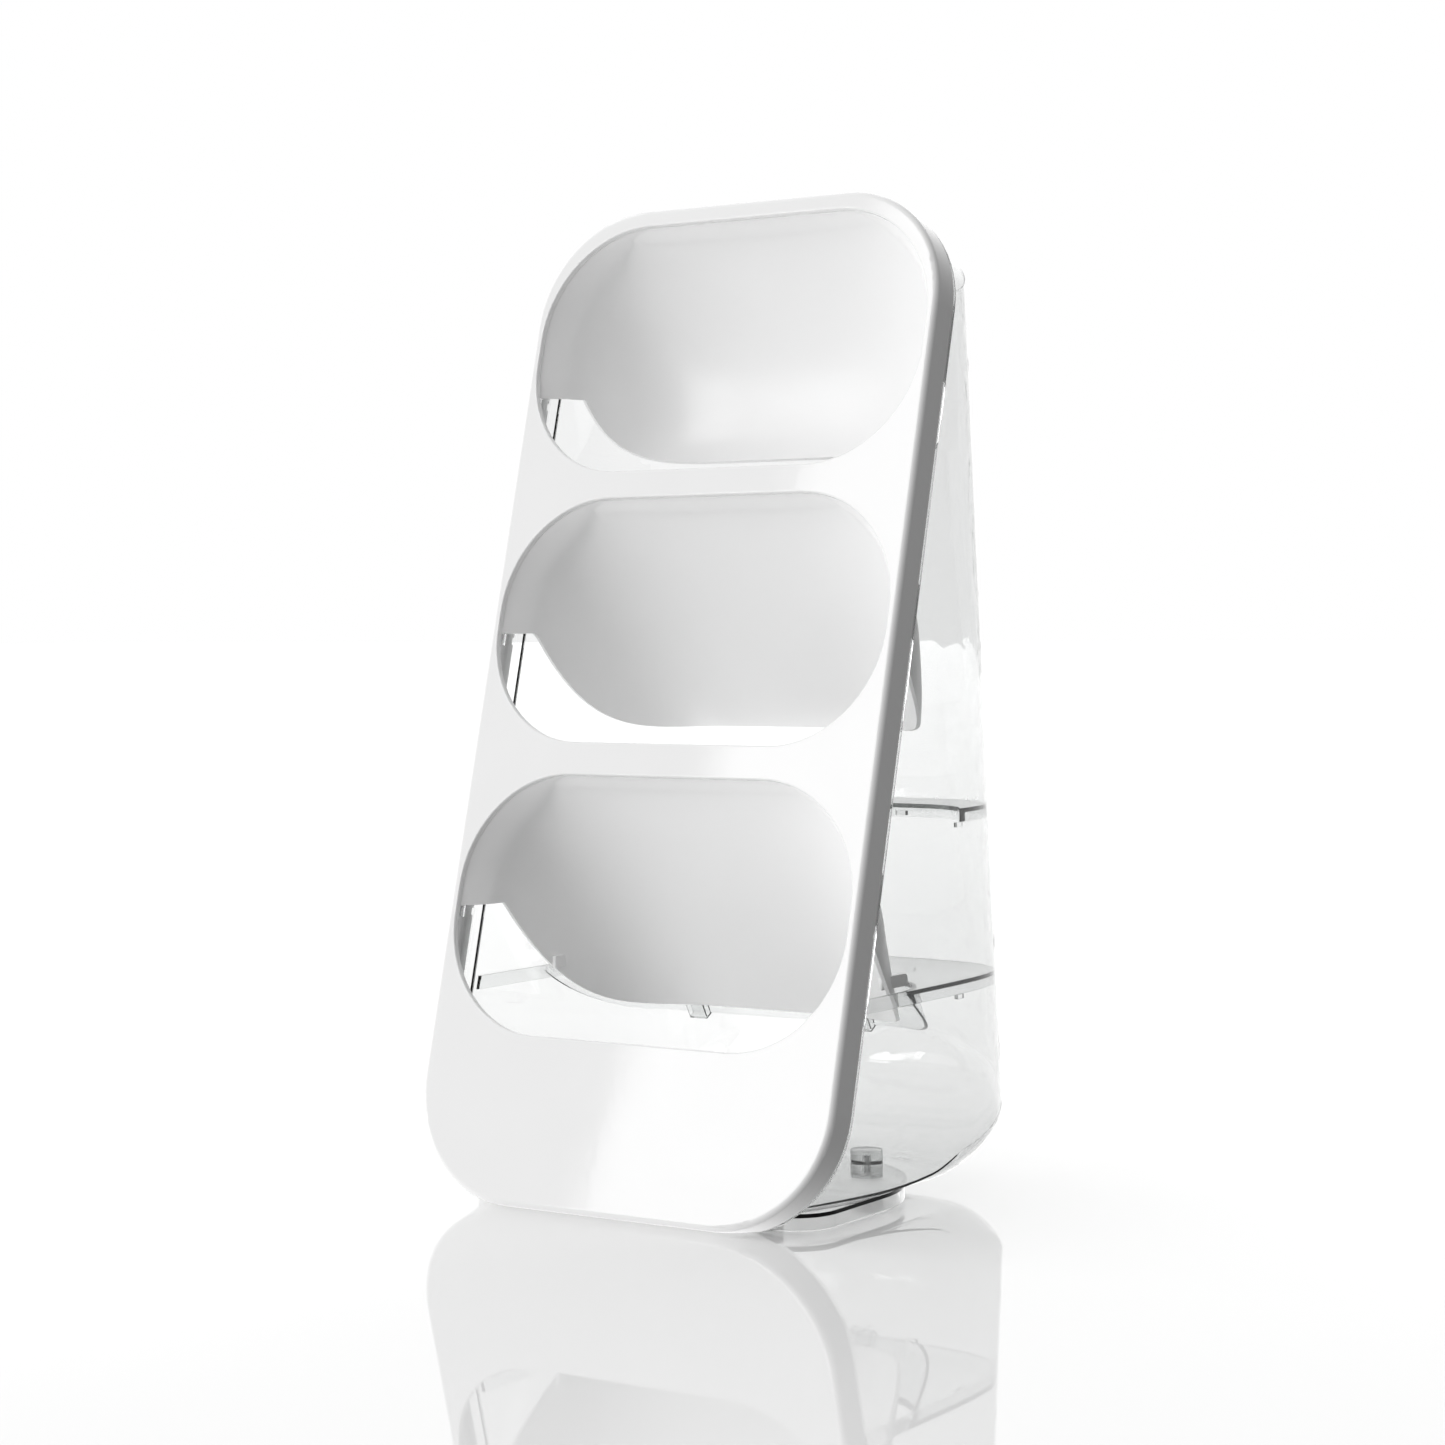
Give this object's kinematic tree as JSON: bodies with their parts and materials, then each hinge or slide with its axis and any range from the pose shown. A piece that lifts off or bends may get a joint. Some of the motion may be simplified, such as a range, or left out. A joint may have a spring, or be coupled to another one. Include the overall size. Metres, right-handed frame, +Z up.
{
  "type": "magazine rack",
  "caption": "Free-standing magazine rack: a white leaning front panel with three wide rounded mouths, curved scoops behind them and a clear wedge-shaped rear shell with clear shelves.",
  "frame": {"origin": "on the floor, under the middle of the whole rack: midway between left and right, and between the front of the panel and the back of the shell", "axes": "+X to the right as seen from the front, +Y back towards the rear wall, +Z up; the mouths face -Y"},
  "size_m": [0.32, 0.3122, 0.6635],
  "materials": {
    "panel_white": "glossy white injection-moulded plastic",
    "scoop_white": "satin white injection-moulded plastic",
    "shell_clear": "clear glossy plastic",
    "shelf_clear": "clear glossy plastic",
    "screw_steel": "zinc-plated steel",
    "pad_rubber": "translucent grey silicone rubber"
  },
  "bodies": {
    "root": {"front_panel": "panel_white", "rear_shell": "shell_clear", "upper_scoop": "scoop_white", "middle_scoop": "scoop_white", "lower_scoop": "scoop_white", "upper_shelf": "shelf_clear", "lower_shelf": "shelf_clear", "shelf_clips": "shelf_clear", "base_plinth": "shell_clear", "plinth_screws": "screw_steel", "foot_pads": "pad_rubber"}
  },
  "joints": []
}
